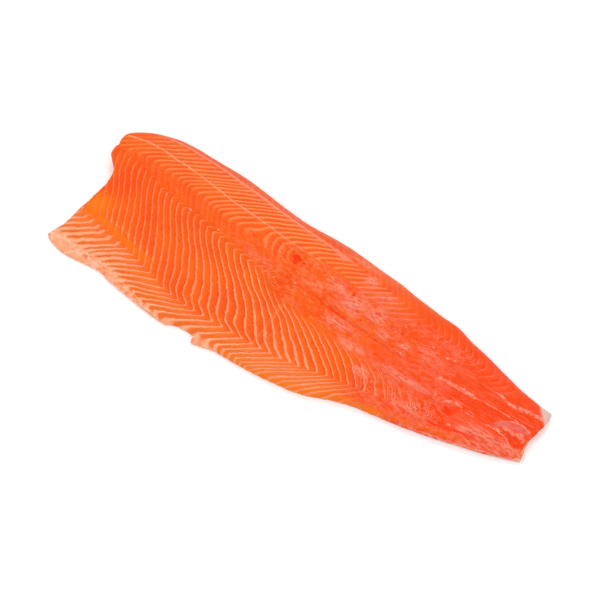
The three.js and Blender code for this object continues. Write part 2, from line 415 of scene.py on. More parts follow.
SINEW_STRIPES = [                # the pink, knobbly strings of the tail
    (4.2, 1.0, [(178, -5.5), (190, -4), (200, -3), (212, -2), (232, -2)]),
    (1.5, 0.9, [(214, -2), (235, -1.5), (255, 0), (270, 0.5), (285, 0.5), (300, -1)]),
    (3.0, 1.1, [(240, 17.5), (250, 15.5), (258, 13), (268, 12.5), (280, 15), (304, 19)]),
    (5.0, 1.1, [(268, 13.5), (286, 17), (304, 19.5)]),
    (1.4, 0.75, [(284, 3), (292, 4.5), (301, 7)]),
    (2.4, 1.0, [(248, -22.5), (256, -21), (264, -20.5), (272, -21.5), (280, -24), (289, -29)]),
    (1.8, 1.5, [(256, -19), (262, -12), (268, -7), (274, -2.5), (286, -0.5), (300, -3)]),
    (1.2, 0.9, [(256, -18), (264, -18.5), (276, -19)]),
    (3.6, 1.1, [(198, -29), (206, -22.5), (213, -19.5), (225, -20)]),
    (1.8, 0.75, [(218, -24), (228, -23), (242, -22)]),
    (2.2, 0.95, [(122, -3), (130, -3), (140, -5)]),
    (1.6, 0.8, [(170, -71), (200, -64.5), (230, -57.5), (260, -49), (290, -39.5), (304, -35)]),
    (2.2, 0.6, [(188, -61), (205, -58), (222, -53), (240, -47)]),
    (1.3, 0.8, [(138, 0), (144, 3), (152, 7)]), (1.3, 0.8, [(144, 7), (150, 11), (157, 14)]),
    (1.2, 0.8, [(80, 12), (86, 15.5), (93, 19)]), (1.1, 0.7, [(84, 17), (90, 21), (97, 24)]),
]
SINEW_AND_GLINT_SPOTS = [
    (180, 19.5, 5, 3), (187.5, 21.5, 4.6, 2.8), (184.5, 28.5, 1.8, 4, 0.8), (182.5, 3.5, 2.2, 4),
    (160, 21.5, 4, 2, 0.8), (123, 25, 4, 1.8, 0.8), (99, 29, 5, 2, 0.7), (99, 36, 5, 2.5, 0.7, 25),
    (220, -45, 5, 2.6, 0.9, 30), (186.5, -38.5, 1.6, 4, 1.0, 25), (184, -45, 1.5, 3.5, 0.9, 20),
    # The spots from here to (293.5, -4.5) are painted highlights in the tail's pocket, not sinew.
    (276, -13.5, 14, 4, 1.6, 0), (288, -11.5, 10, 4.6, 1.8), (293.5, -14.5, 3, 6, 1.4),
    (293.5, -4.5, 4, 3.6, 0.9), (166, -22, 2, 4, 0.7), (158, -28, 5, 2, 0.7), (190, -24, 3, 5, 0.7),
    (175, -12, 4, 2, 0.6), (193, -49, 2, 6, 0.8, 30), (158, -56, 6, 2.4, 0.7),
    (122, -54, 4, 2, 0.8),
]
print("marks of fat and sinew:", sum(map(len, (
    FAT_STRIPES, FAT_SPOTS, SINEW_STRIPES, SINEW_AND_GLINT_SPOTS))))

# %% [markdown]
# The flesh is torn along the lateral line and in a furrow beside the loin, golden at the nape
# and along the belly's edge, and wet in much of the tail half, where the wet patches carry a
# painted pink sheen. The calm spots are smooth where the flesh round them is matted, and the
# deep ones have a deeper red.

# %% Stripes and spots of torn, golden and wet flesh, the wet ones with painted sheen
TORN_STRIPES = [
    (1.5, 0.7, [(-12, 4), (10, 3.5), (30, 2), (50, 0), (75, -2)]),
    (1.2, 0.8, [(60, -0.7), (72, -2.5), (84, -2.6), (95, -4.4), (112, -4.6), (126, -6.3),
                (142, -6.4)]),
    (2.2, 0.95, [(34, 1.5), (48, 0), (66, -1.5)]),
    (3.0, 0.7, [(194, -54), (215, -50.5), (235, -45), (255, -41)]),
]
TORN_SPOTS = [
    (-24.5, 30, 8.5, 5, 1.5, -4), (-24, 26, 3.6, 6.5, 1.4, 12), (-14, 28, 8, 2.2, 1.0, -16),
    (-6, 31, 8, 6, 0.55), (102, -4.5, 5.5, 2.4), (-126, 14, 3.5, 2.2, 0.7),
    (-80, 27, 6, 2.2, 0.8, 15), (-50, 28, 5, 2, 0.7, 30), (12, 31, 2, 5, 0.9, 25),
    (54, 26, 4.5, 3.6, 1.0, 30), (65, 33, 5, 2, 0.7), (76, 6, 3.4, 2.2, 0.8),
    (68, 13, 4, 5, 0.5, -30),
    (123, 16.5, 3, 3, 1.1), (190, 33, 5, 4, 0.7), (211, -31, 10, 5, 1.1, -12),
    (186, -42, 2.4, 6, 0.9, 15), (291, -22, 6.5, 8.5, 0.75), (281, -18.3, 5.5, 1.8, 0.75),
    (-225, 67, 4, 2, 0.6), (-195, 65, 3, 2, 0.5),
]
GOLD_STRIPES = [
    (9, 0.9, [(-40, -108), (0, -107), (30, -104), (60, -99), (90, -91), (120, -80), (160, -73)]),
    (8, 0.65, [(-275, -36), (-250, -42), (-225, -48), (-200, -53), (-160, -61)]),
    (4.5, 0.4, [(140, -75), (165, -69), (190, -63), (220, -56), (255, -46)])]
GOLD_SPOTS = [(-262, -30, 26, 34, 1.0, -20)]
CALM_SPOTS = [                   # smooth, unmatted flesh
    (112, -13, 40, 8, 0.85), (8, 14, 22, 12, 0.5), (205, -15, 24, 8, 0.8), (10, -8, 26, 9, 0.4)]
DEEP_SPOTS = [(-248, 6, 38, 32, 0.9), (-205, 2, 50, 30, 0.5), (215, 8, 60, 14, 0.8)]
# Wet patches: their pink colour is painted sheen.
WET_SHEEN_STRIPES = [
    (6.0, 0.8, [(226, -43), (245, -38), (262, -35), (280, -31), (298, -27)]),
]
WET_SHEEN_SPOTS = [
    (32, 25, 24, 12, 1.0, -10), (60, 17, 24, 18, 1.2, 20), (88, 18, 17, 15, 1.3, 30),
    (14, 63, 15, 9, 0.9, -20), (60, 53, 11, 14, 0.9, 20), (40, 70, 30, 6, 0.5, -8),
    (85, 42, 22, 9, 0.6, 30), (56, -9, 26, 9, 1.1), (85, -26, 28, 9, 0.9, -10),
    (108, -44, 16, 10, 0.8), (150, -27, 50, 7, 0.8), (165, 10, 26, 14, 0.5),
    (10, 14, 26, 8, 0.6), (108, 5, 14, 7, 1.0), (135, 5, 12, 7, 1.0, 20),
    (175, -52, 30, 12, 0.7, 10),
    (-60, 8, 30, 6, 0.4), (-100, 76, 150, 5, 0.3, -9),
]
FILM_STRIPES = [(5.5, 1.2, [(257, -18), (264, -13), (272, -8.5), (280, -6), (288, -5), (297, -5)])]
print("other marks:", sum(map(len, (
    TORN_STRIPES, TORN_SPOTS, GOLD_STRIPES, GOLD_SPOTS, CALM_SPOTS, DEEP_SPOTS, WET_SHEEN_STRIPES,
    WET_SHEEN_SPOTS, FILM_STRIPES))))

# %% [markdown]
# The pale lines don't show everywhere alike. They are strongest low on the side, fade under
# the matted flesh along the lateral line, are broad and soft over the loin, and widen in the
# belly until they run together into the band of fat.

# %% How strongly the lines show along the fish
LINES_TOP = [
    (-290, 38), (-247, 33), (-233, 29), (-215, 25), (-200, 22), (-170, 17), (-143, 14.5),
    (-114, 10), (-83, 4.5), (-58, -2), (-30, -15), (0, -21), (40, -24), (60, -26), (100, -28),
    (150, -32), (305, -40)]
LINE_CONTRAST = [
    (-290, 0.25), (-240, 0.36), (-200, 0.42), (-130, 0.6), (-60, 0.85), (50, 0.95), (90, 0.8),
    (130, 0.65), (160, 0.45), (190, 0.25), (215, 0), (305, 0)]
BELLY_CONTRAST = [
    (-290, 1), (-195, 0.95), (-165, 0.8), (-120, 0.85), (-60, 0.95), (0, 0.8), (50, 0.7),
    (80, 0.95), (105, 0.75), (130, 0), (305, 0)]
LOIN_CONTRAST = [
    (-290, 0.2), (-260, 0.35), (-240, 0.75), (-190, 1.05), (-10, 1.05), (20, 0.8), (85, 0.8),
    (115, 0.5), (190, 0.4), (250, 0.4), (305, 0.2)]
SEAM_CONTRAST = [(-290, 0.3), (-250, 1), (-120, 0.95), (-50, 0.7), (0, 0.2), (30, 0), (305, 0)]
ARC_CONTRAST = [
    (-290, 0.45), (-260, 0.55), (-225, 0.75), (-100, 0.8), (-65, 0.75), (-42, 0.5), (-24, 0),
    (305, 0)]
BRIGHT_STREAK = (5, 1, [(-252, -32), (-235, -38), (-217, -41.5), (-192, -48), (-158, -55)])
NAPE_GAP = (7, 1, [(-275, -38), (-255, -42), (-234, -46), (-222, -49), (-205, -52), (-188, -56)])
BELLY_STREAK = (4, 1, [(-266, -49), (-245, -54), (-228, -58), (-212, -60.5)])
print("share of a line that shows at mid-length:", float(along(LINE_CONTRAST, 0)))

# %% [markdown]
# Those curves say how the lines fade along the fish. Across it they fade by how far a point
# is from the kinks, the seam and the rim, and here the two are multiplied.

# %% Strength and width of the lines
def line_marks(x, y, gold):
    """How strongly and how widely the pale lines show at (x, y)."""
    kink, seam, top = along(BELLY_KINK, x), along(LOIN_SEAM, x), along(LINES_TOP, x)
    rim, turn = along(BACK_KINK, x), along(BELLY_TURN, x)
    below = np.clip((kink - y) / np.maximum(kink - turn, 6), 0, 1.6)
    belly, rear = ease(kink - y, -1, 3), ease(x, -90, -30)
    upper = 1 - ease(y, top - mix(4, 12, ease(x, 0, 50)), top + 4)
    upper = np.maximum(upper, stripe(x, y, 6, 0.7, [(-76, 2), (-50, 1), (-26, 1)]))
    streak = stripe(x, y, *BRIGHT_STREAK)
    upper = upper * (1 + 0.8 * streak) * (1 - 0.8 * stripe(x, y, *NAPE_GAP))
    ends = stripe(x, y, *BELLY_STREAK)
    lower = along(BELLY_CONTRAST, x) * (1 + 0.2 * ends) * mix(0.66, 1.15, np.minimum(below, 1))
    lower = lower * mix(1, ease(kink - y, -4, 7), ease(x, 0, 30))
    show = mix(along(LINE_CONTRAST, x) * upper, lower, belly)
    width = 0.14 + 0.05 * streak + 0.01 * ends + spot(x, y, 25, -70, 55, 28, 0.08)
    width = width + 0.05 * belly * ease(x, -10, 20) - 0.05 * ease(x, 50, 100)
    width = width + spot(x, y, 30, -75, 34, 8, 0.05)
    wide = mix(0.07 + 0.14 * below, 0.02 + 0.04 * below, ease(x, -210, -150))
    tips = mix(0.5, 0.24, ease(x, -185, -155))
    spread = wide + mix(tips, 0.12, rear) * ease(below, 0.85, 1.35)
    under = seam - y
    arcs = along(ARC_CONTRAST, x) * (1 - 0.8 * ease(under, 15, 25)) * ease(y, top, top + 5)
    bends = 0.35 + 0.65 * dome(y - rim - 4, 8, 9)
    loin = along(LOIN_CONTRAST, x) * mix(1, bends, ease(x, 90, 160))
    loin = loin * (1 - 0.8 * ease(y, rim - 4, rim + 3) * (1 - ease(x, 125, 175)))
    loin = loin * mix(1, ease(y + ruffle(x, 0, 14, 5) * 3, seam - 2, seam + 6), ease(x, -20, 10))
    return {"line_show": show * (1 - 0.5 * gold), "line_width": width + spread * belly,
            "loin_show": np.where(y < seam, mix(arcs, loin, ease(x, -20, 10)), loin),
            "tips": dome(below - 0.85, 0.5, 0.45) * (1 - ease(x, -40, 10)) * belly}


print("marks of the lines:", ", ".join(line_marks(two_places, np.array([-50.0, -50.0]), 0)))

# %% [markdown]
# Each vertex carries twenty marks. The matted flesh lies between the lines' upper ends
# and the seam, and spreads over most of the tail half. The rest comes from the tables.

# %% All marks of the flesh
def paint_marks(x, y):
    """Every mark of the flesh as values on the points (x, y)."""
    kink, seam, top = along(BELLY_KINK, x), along(LOIN_SEAM, x), along(LINES_TOP, x)
    band = along(BELLY_FAT, x)
    gold = gather(x, y, GOLD_STRIPES, GOLD_SPOTS)
    marks = line_marks(x, y, gold)
    marks["line_count"], marks["loin_count"] = line_count(x, y), loin_count(x, y)
    marks["seam_gap"], marks["rim_highlight_gap"] = y - seam, y - along(BACK_RIM, x)
    marks["seam_show"] = along(SEAM_CONTRAST, x)
    marks["belly"] = ease(kink + 6 - y, 0, 16) * (1 - ease(x, 80, 130))
    fat = (1 - ease(y, band - 2, band + 3)) * (1 - ease(x, -45, -25))
    fat = fat * (1 - 0.55 * stripe(x, y, *EDGE_MEAT)) * (1 - 0.35 * ease(x, -80, -68))
    marks["fat"] = np.maximum(fat, gather(x, y, FAT_STRIPES, FAT_SPOTS))
    marks["sinew"] = gather(x, y, SINEW_STRIPES, SINEW_AND_GLINT_SPOTS)
    marks["torn"] = gather(x, y, TORN_STRIPES, TORN_SPOTS)
    marks["gold"] = gold
    marks["wet"] = gather(x, y, WET_SHEEN_STRIPES, WET_SHEEN_SPOTS)
    marks["film"] = np.maximum(
        ease(y - 33 + (x - 287) * 1.2, 0, 2.5) * ease(x, 282, 288), gather(x, y, FILM_STRIPES))
    reach = mix(18, 4, ease(x, -60, -35))
    matted = ease(y, top, top + 6) * (1 - ease(y, seam - reach, seam - reach + 10))
    matted = np.maximum(matted, ease(x, -10, 20) * ease(y, top, top + 8) * (1 - ease(y, 36, 44)))
    lower = ease(x, 95, 130) * (1 - ease(x, 205, 230)) * (1 - ease(y, -25, -12))
    matted = matted * mix(0.3, 1, ease(x, -110, -40)) * (1 - gather(x, y, (), CALM_SPOTS))
    behind = 0.6 * ease(y - along(BACK_RIM, x), 1, 5) * ease(x, -130, -60) * (1 - ease(x, 60, 110))
    matted = np.maximum(matted * (1 - 0.7 * ease(x, 185, 225)), behind)
    marks["mottle"] = np.maximum(matted, 1.2 * lower)
    marks["deep"] = gather(x, y, (), DEEP_SPOTS)
    marks["fibre"] = ease(x, 160, 215) * ease(y, -30, -18) * (1 - ease(y, 14, 26))
    marks["slant"] = ease(x, 212, 245) * (1 - ease(y, -32, -22))
    return marks


print("marks:", ", ".join(paint_marks(np.array([0.0]), np.array([0.0]))))

# %% [markdown]
# The flesh is one closed body. A flat grid is drawn, its rim is pulled down in a few rows for
# the walls, and the hole left at the bottom is filled. That is easier to shape than a cut box,
# because each vertex of the grid knows its share of the way along and across the fish.

# %% A closed lattice for the flesh
LONG_STEPS, WIDE_STEPS, WALL_STEPS = 460, 170, 8


def closed_lattice(long_steps, wide_steps, wall_steps):
    bm = bmesh.new()
    bmesh.ops.create_grid(bm, x_segments=long_steps, y_segments=wide_steps, size=0.5)
    down = bm.verts.layers.float.new("down")
    rim = [edge for edge in bm.edges if edge.is_boundary]
    for step in range(wall_steps):
        pulled = bmesh.ops.extrude_edge_only(bm, edges=rim)["geom"]
        for vert in (item for item in pulled if isinstance(item, bmesh.types.BMVert)):
            vert[down] = (step + 1) / wall_steps
            vert.co.z = -vert[down]
        rim = [item for item in pulled if isinstance(item, bmesh.types.BMEdge) and item.is_boundary]
    bmesh.ops.edgeloop_fill(bm, edges=rim)
    bmesh.ops.recalc_face_normals(bm, faces=bm.faces)
    mesh = bpy.data.meshes.new("flesh")
    bm.to_mesh(mesh)
    bm.free()
    return mesh


def read_points(mesh, name, size):
    values = np.empty(len(mesh.vertices) * size)
    if name == "co":
        mesh.vertices.foreach_get("co", values)
    else:
        mesh.attributes[name].data.foreach_get("value", values)
    return values.reshape(-1, size) if size > 1 else values


flesh_mesh = closed_lattice(LONG_STEPS, WIDE_STEPS, WALL_STEPS)
print("flesh lattice:", len(flesh_mesh.vertices), "points")

# %% [markdown]
# The lattice is then laid on the fish. Steps crowd a little towards the edges, where the
# surface rolls over. The relief is small: each muscle block swells a third of a millimetre
# between its sheets of fat, the seam and the lips stand up, the furrow and the tears go in.

# %% Lay the lattice on the fish
END_CROWDING, EDGE_CROWDING = 0.1, 0.12
UNDERCUT = 2.2                   # how far the underside stands back from the outline
SKIN, SKIN_GAP = 0.7, 0.05       # thickness of the skin, and the gap over it
ROOM = 0.6                       # how far under the solid's top the flesh starts
LEAST_FLESH = 0.6                # no flesh is thinner than this
SWELL = 0.35                     # rise of a muscle block between its lines
SEAM_RISE, FAT_RISE, ROUGH_RISE, FIBRE_RISE, TEAR_DEPTH = 0.25, 0.4, 0.25, 0.12, 1.1
WALL_DRIFT = 0.07                # lines passed for each mm down a wall


def crowd(share, amount):
    return share - amount * np.sin(2 * math.pi * share) / (2 * math.pi)


def from_line(count):
    """0 on a line, 1 halfway to the next."""
    return 2 * np.abs(count - np.round(count))


def relief(x, y, marks):
    """Small forms on the top, in mm. The highest stand 0.7 mm over the solid's own top."""
    blocks = np.minimum(marks["line_show"], 1) * (1 - from_line(marks["line_count"])) ** 2
    blocks = blocks + 0.5 * marks["loin_show"] * (1 - from_line(marks["loin_count"])) ** 2
    seam = dome(marks["seam_gap"], 2.4, 2.4) * (1 - ease(x, -20, 20))
    raised = gather(x, y, FAT_STRIPES, FAT_SPOTS) + 1.6 * marks["sinew"]
    rough = marks["mottle"] * ruffle(x, y, 9, 7) + 0.7 * ruffle(x, y, 30, 8)
    rough = rough + marks["wet"] * ruffle(x * 0.6, y, 6, 11)
    fibres = marks["fibre"] * ruffle(x / 9, y, 3.2, 9)
    return (-SWELL * blocks + SEAM_RISE * seam * (1 + ruffle(x, y, 7, 6)) + FAT_RISE * raised
            + ROUGH_RISE * rough + FIBRE_RISE * fibres - TEAR_DEPTH * marks["torn"] - ROOM)


def wall_inset(down):
    return UNDERCUT * down**1.5


def to_metres(x, y, z):
    return np.stack([x - MIDDLE[0], y - MIDDLE[1], z], axis=-1) / 1000


unit = read_points(flesh_mesh, "co", 3)
down = read_points(flesh_mesh, "down", 1)
u, v = crowd(unit[:, 0] + 0.5, END_CROWDING), crowd(unit[:, 1] + 0.5, EDGE_CROWDING)
edges = plan(u, v)
marks = paint_marks(edges[0], edges[1])
top = np.maximum(thickness(*edges) + relief(edges[0], edges[1], marks), SKIN + LEAST_FLESH)
inset = wall_inset(down) + SKIN * ease(down, 0.05, 0.3)
flesh_points = to_metres(
    edges[0] + inset * (1 - 2 * u), edges[1] + inset * (1 - 2 * v),
    mix(top, SKIN + SKIN_GAP, down))
flesh_mesh.vertices.foreach_set("co", flesh_points.ravel())
marks["line_count"] = marks["line_count"] + WALL_DRIFT * top * down
for name, values in marks.items():
    layer = flesh_mesh.attributes.new(name, "FLOAT", "POINT")
    layer.data.foreach_set("value", np.asarray(values, float))
flesh_mesh.attributes.remove(flesh_mesh.attributes["down"])
flesh_mesh.shade_smooth()
flesh_mesh.update()
print("flesh spans, mm:", (1000 * np.ptp(flesh_points, axis=0)).round(1))

# %% [markdown]
# The finishes are sums of masks. Math nodes can be added one by one, but then the sum can't
# be read, so a small class wraps a node's output and lets the sums be written as sums.

# %% Wires that can be added up
class Wire:
    """One output of a node, which can be added, multiplied and so on."""

    def __init__(self, bench, socket):
        self.bench, self.socket = bench, socket

    def math(self, operation, *others):
        values = dict(enumerate((self,) + others))
        return self.bench.node("ShaderNodeMath", {"operation": operation}, values)

    def __add__(self, other):
        return self.math("ADD", other)

    def __mul__(self, other):
        return self.math("MULTIPLY", other)

    def __sub__(self, other):
        return self.math("SUBTRACT", other)

    def __rsub__(self, other):
        return self.bench.node("ShaderNodeMath", {"operation": "SUBTRACT"}, {0: other, 1: self})

    __radd__, __rmul__ = __add__, __mul__

    def step(self, low, high):
        """Soft step: 0 below low, 1 above high."""
        return self.bench.node(
            "ShaderNodeMapRange", {"interpolation_type": "SMOOTHSTEP"},
            {"Value": self, "From Min": low, "From Max": high})


print("what a wire can do:", [name.strip("_") for name in vars(Wire) if callable(vars(Wire)[name])])

# %% [markdown]
# A bench is a new material with its tools laid out: the place on the fish, the marks, noise,
# and noise that is stretched along a grain. Every node comes from the one method `node`, and
# `lay` adds a coat of colour over those before it. Nodes could be placed by hand in the
# editor, but the flesh needs some hundreds of them.

# %% A bench for materials
class Bench:
    """A new material and the ways to add nodes to it."""

    def __init__(self, name):
        self.material = bpy.data.materials.new(name)
        self.material.use_nodes = True
        self.tree = self.material.node_tree
        self.tree.nodes.clear()
        self.colour = None
        self.place = self.node("ShaderNodeTexCoord", output="Object")
        split = self.node("ShaderNodeSeparateXYZ", {}, {"Vector": self.place})
        self.x, self.y = split, Wire(self, split.socket.node.outputs["Y"])

    def node(self, kind, settings=None, inputs=None, output=0):
        new = self.tree.nodes.new(kind)
        for name, value in (settings or {}).items():
            setattr(new, name, value)
        for name, value in (inputs or {}).items():
            if isinstance(value, Wire):
                self.tree.links.new(value.socket, new.inputs[name])
            else:
                new.inputs[name].default_value = value
        return Wire(self, new.outputs[output]) if new.outputs else new

    def mark(self, name):
        return self.node("ShaderNodeAttribute", {"attribute_name": name}, output="Fac")

    def stretched(self, turn, stretch):
        """The place, turned about Z and stretched, for grain that runs one way."""
        return self.node("ShaderNodeMapping", {}, {
            "Vector": self.place, "Rotation": (0, 0, math.radians(turn)), "Scale": stretch})

    def noise(self, size, detail=2.0, rough=0.5, place=None, swirl=0.0):
        """Cloudy value about 0.5, with clouds `size` mm across."""
        return self.node("ShaderNodeTexNoise", {}, {
            "Vector": place or self.place, "Scale": 1000 / size, "Detail": detail,
            "Roughness": rough, "Distortion": swirl})

    def blend(self, share, low, high):
        """Colour between two colours."""
        return self.node("ShaderNodeMix", {"data_type": "RGBA"}, {0: share, 6: low, 7: high}, 2)

    def lay(self, share, colour):
        """One more coat over the colour so far. Shares past 1 count as 1."""
        self.colour = self.blend(share, self.colour, colour)

    def finish(self, settings):
        body = self.node("ShaderNodeBsdfPrincipled", {}, {"Base Color": self.colour, **settings})
        self.node("ShaderNodeOutputMaterial", {}, {"Surface": body})
        return self.material


print("tools of the bench:", [name for name in vars(Bench) if not name.startswith("_")])

# %% [markdown]
# A colour is easiest to name as a screen shows it, but light adds up on a linear scale, so
# every colour is turned into that scale first. A picker in the editor does the same.

# %% Screen colours made linear
def paint(red, green, blue):
    """Screen colour from 0 to 255, as the linear colour that a shader takes."""
    def linear(value):
        value /= 255
        return value / 12.92 if value <= 0.04045 else ((value + 0.055) / 1.055) ** 2.4
    return linear(red), linear(green), linear(blue), 1.0


print("flesh orange, linear:", [round(value, 3) for value in paint(250, 100, 36)])

# %% [markdown]
# Raw salmon is orange because of the shrimp-like pigment in the muscle, and the fat between
# the muscle blocks has none of it. The finish is built up in coats of colour, each with its
# own share at every point: the muscle first, then the pale lines, then the single marks. One
# painted picture could hold them all, but coats stay sharp from close by, and each can be
# changed alone.

# %% Colours of the flesh
ORANGE, DEEP_ORANGE, LIGHT_ORANGE = paint(249, 98, 6), paint(246, 80, 2), paint(252, 124, 48)
TAIL_RED_AND_SHADE, DARK_ORANGE_AND_SHADE, TAIL_LIGHT = paint(251, 58, 0), paint(236, 60, 0), paint(255, 98, 34)
BELLY_ORANGE, LINE_FAT, BELLY_LINE = paint(248, 124, 52), paint(254, 160, 114), paint(253, 173, 131)
BELLY_PINK, WHITE_FAT, LOIN_FAT = paint(250, 166, 122), paint(254, 200, 172), paint(254, 152, 92)
GOLD, TORN_RED, WET_PINK_AND_SHEEN = paint(251, 122, 2), paint(251, 56, 0), paint(255, 146, 120)
OLIVE, PINK_SINEW_AND_GLINT, PALE_SINEW_AND_GLINT = paint(222, 98, 8), paint(255, 122, 92), paint(255, 166, 142)
DEEP_RED = paint(251, 72, 2)
FILM_MAUVE, FILM_GREY, MAROON = paint(228, 116, 112), paint(226, 196, 184), paint(236, 48, 8)
print("green in the muscle and in its fat, linear:", round(ORANGE[1], 3), round(LINE_FAT[1], 3))

# %% [markdown]
# The muscle is orange at the head and redder towards the tail, with a fine grain of lighter
# and darker orange. Where it is matted, noise that is stretched along a slant lays the short
# strokes of wet fibres that a knife has dragged; their pink strokes, here and in the wet
# patches, are partly painted glints. Strokes modelled one by one would be far more work and
# no finer to look at.

# %% The muscle's own colour, and painted glints in the wet patches
meat = Bench("raw salmon flesh")
meat.colour = DEEP_ORANGE
mottle, belly, slant = meat.mark("mottle"), meat.mark("belly"), meat.mark("slant")
stringy = meat.mark("fibre")
cloud, flecks, grain = meat.noise(26, 3), meat.noise(4, 3, 0.6), meat.noise(1.6, 3, 0.6)
speck = meat.noise(2.4, 2, 0.5)
torn = (meat.mark("torn") * (0.2 + meat.noise(2.8, 3, 0.65) * 1.6)).step(0.25, 0.75)
wet = meat.mark("wet") * (1 - torn)
meat.lay(cloud.step(0.3, 0.7), ORANGE)
meat.lay(belly * 0.8, BELLY_ORANGE)
meat.lay(meat.x.step(0.06, 0.22) * 0.9, TAIL_RED_AND_SHADE)
light = meat.blend(meat.x.step(0.0, 0.12), LIGHT_ORANGE, TAIL_LIGHT)
meat.lay(grain.step(0.45, 0.7) * 0.35, light)
meat.lay((1 - grain).step(0.5, 0.72) * 0.4, DARK_ORANGE_AND_SHADE)
wisps = meat.noise(5, 4, 0.65, meat.stretched(-34, (0.34, 1, 1)), 0.9)
weave = meat.noise(2, 3, 0.6, meat.stretched(-38, (0.34, 1, 1)), 0.8)
# Pink strokes in the wet patches and the matted flesh: partly painted glints.
meat.lay(wisps.step(0.5, 0.6) * (mottle * 0.22 + wet * 0.5), WET_PINK_AND_SHEEN)
meat.lay(mottle * (1 - wisps).step(0.52, 0.64) * 0.3, DARK_ORANGE_AND_SHADE)
meat.lay(mottle * weave.step(0.54, 0.62) * 0.55, light)
# Fine pink painted glints on the wet patches.
meat.lay(weave.step(0.56, 0.64) * (mottle * 0.1 + wet * 0.4), WET_PINK_AND_SHEEN)
meat.lay(mottle * (1 - weave).step(0.53, 0.64) * 0.6, TAIL_RED_AND_SHADE)
meat.lay(mottle * speck.step(0.65, 0.72) * 0.35, MAROON)
meat.lay(meat.mark("gold") * 0.9, GOLD)
meat.lay(meat.mark("deep") * 0.75, DEEP_RED)
print("nodes for the muscle:", len(meat.tree.nodes))

# %% [markdown]
# A sheet of fat lies wherever the count of lines is a whole number. Noise makes the count
# waver and the width come and go, so no line looks ruled. The sheets lie at a slant, so each
# shows through the flesh as a soft glow on its tail side, and a band of painted shade darkens its
# head side.

# %% The pale lines of the side
waver = (meat.noise(16, 2) - 0.5) * 0.45 + (meat.noise(4.5, 2) - 0.5) * 0.24
waver = waver + (speck - 0.5) * 0.14
count = meat.mark("line_count") + waver
ahead, off = count.math("FRACT"), count.math("PINGPONG", 0.5)
width = meat.mark("line_width") * (0.35 + meat.noise(9, 2) * 0.8 + flecks * 0.4)
line = 1 - off.step(width * 0.3, width * 1.3)
show = meat.mark("line_show") * (0.55 + meat.noise(10, 3) * 0.85)
meat.lay((1 - ahead.step(0.05, 0.6)) * show * 0.4, LIGHT_ORANGE)
# Painted shade: a darker band on the head side of each line.
meat.lay(ahead.step(0.62, 0.82) * (1 - ahead.step(0.84, 0.94)) * show * 0.6, DARK_ORANGE_AND_SHADE)
meat.lay(meat.mark("tips") * off.step(0.25, 0.4) * 0.55, OLIVE)
meat.lay(line * show, meat.blend(belly, LINE_FAT, BELLY_LINE))
print("nodes with the side's lines:", len(meat.tree.nodes))

# %% [markdown]
# In the tail half the flesh along the lateral line is torn into small wet curls. They follow
# the sheets of fat, so they are drawn from the same count, about three to each line. Their
# ridges get a painted pink highlight and thin painted glints, and the troughs between them painted
# shade.

# %% Curls of torn flesh, with painted highlights and shade
swirl = (count * 3.2 + meat.noise(7, 3) * 3).math("PINGPONG", 0.5)
swirled = meat.x.step(0.02, 0.07) * (mottle * 0.7 + wet * 0.8) * meat.noise(9, 2).step(0.42, 0.58)
# Painted shade in the troughs between the curls, and a painted highlight on their ridges.
trough_shade, ripple_highlight = swirl.step(0.3, 0.44) * swirled, (1 - swirl.step(0.06, 0.26)) * swirled
# Thin painted glints along the ridges of the wet curls.
comb_glint = (1 - swirl.step(0.03, 0.14)) * swirled * wet * meat.noise(11, 2).step(0.48, 0.6)
for curl, strength, colour in (
        (trough_shade, 0.35, TAIL_RED_AND_SHADE), (ripple_highlight, 0.8, WET_PINK_AND_SHEEN), (comb_glint, 0.7, PALE_SINEW_AND_GLINT)):
    meat.lay(curl.math("MINIMUM", 1) * strength, colour)
print("nodes with the curls:", len(meat.tree.nodes))

# %% [markdown]
# Over the loin the lines are finer and softer, with painted shade on the head side of each.
# The seam between the two muscles shows as a knobbly white thread with dark dots beside it.
# Along the rim where the surface rolls down to the back edge runs a pink painted highlight,
# and the rolled-down strip beyond it gets painted shade.

# %% Lines, seam, and painted highlight and shade at the rim of the loin
loin_line = meat.mark("loin_count") + waver * 0.8
loin_ahead, loin_off = loin_line.math("FRACT"), loin_line.math("PINGPONG", 0.5)
loin = meat.mark("loin_show") * (0.5 + meat.noise(12, 3) * 0.8)
thin = 1 - meat.x.step(0.1, 0.16) * 0.55
hair = (1 - loin_off.step(thin * 0.04, thin * 0.3)) * loin
meat.lay((1 - loin_ahead.step(0.1, 0.6)) * loin * 0.4, LIGHT_ORANGE)
# Painted shade on the head side of each fine line.
meat.lay(loin_ahead.step(0.55, 0.75) * (1 - loin_ahead.step(0.8, 0.95)) * loin * 0.5, DARK_ORANGE_AND_SHADE)
meat.lay(hair.math("MINIMUM", 1) * 0.85,
         meat.blend(meat.x.step(0.02, 0.07), LOIN_FAT, WET_PINK_AND_SHEEN))
gap, seam_show = meat.mark("seam_gap") + (meat.noise(5, 2) - 0.5) * 2.5, meat.mark("seam_show")
seam = (1 - gap.math("ABSOLUTE").step(0.5, 1.8)) * (0.5 + meat.noise(3, 2).step(0.4, 0.6) * 0.5)
meat.lay(seam * seam_show * 0.85, LINE_FAT)
dots = (1 - (gap - 2).math("ABSOLUTE").step(0.5, 1.6)) * meat.noise(3, 2).step(0.52, 0.62)
meat.lay(dots * seam_show * 0.6, DARK_ORANGE_AND_SHADE)
rim = meat.mark("rim_highlight_gap") + (meat.noise(12, 2) - 0.5) * 2
band = meat.x.step(-0.272, -0.235) * (1 - meat.x.step(0.0, 0.04))
# Painted shade on the strip that rolls down beyond the rim.
meat.lay(rim.step(1.5, 6) * 0.35 * (1 - meat.x.step(-0.03, 0.06)), DARK_ORANGE_AND_SHADE)
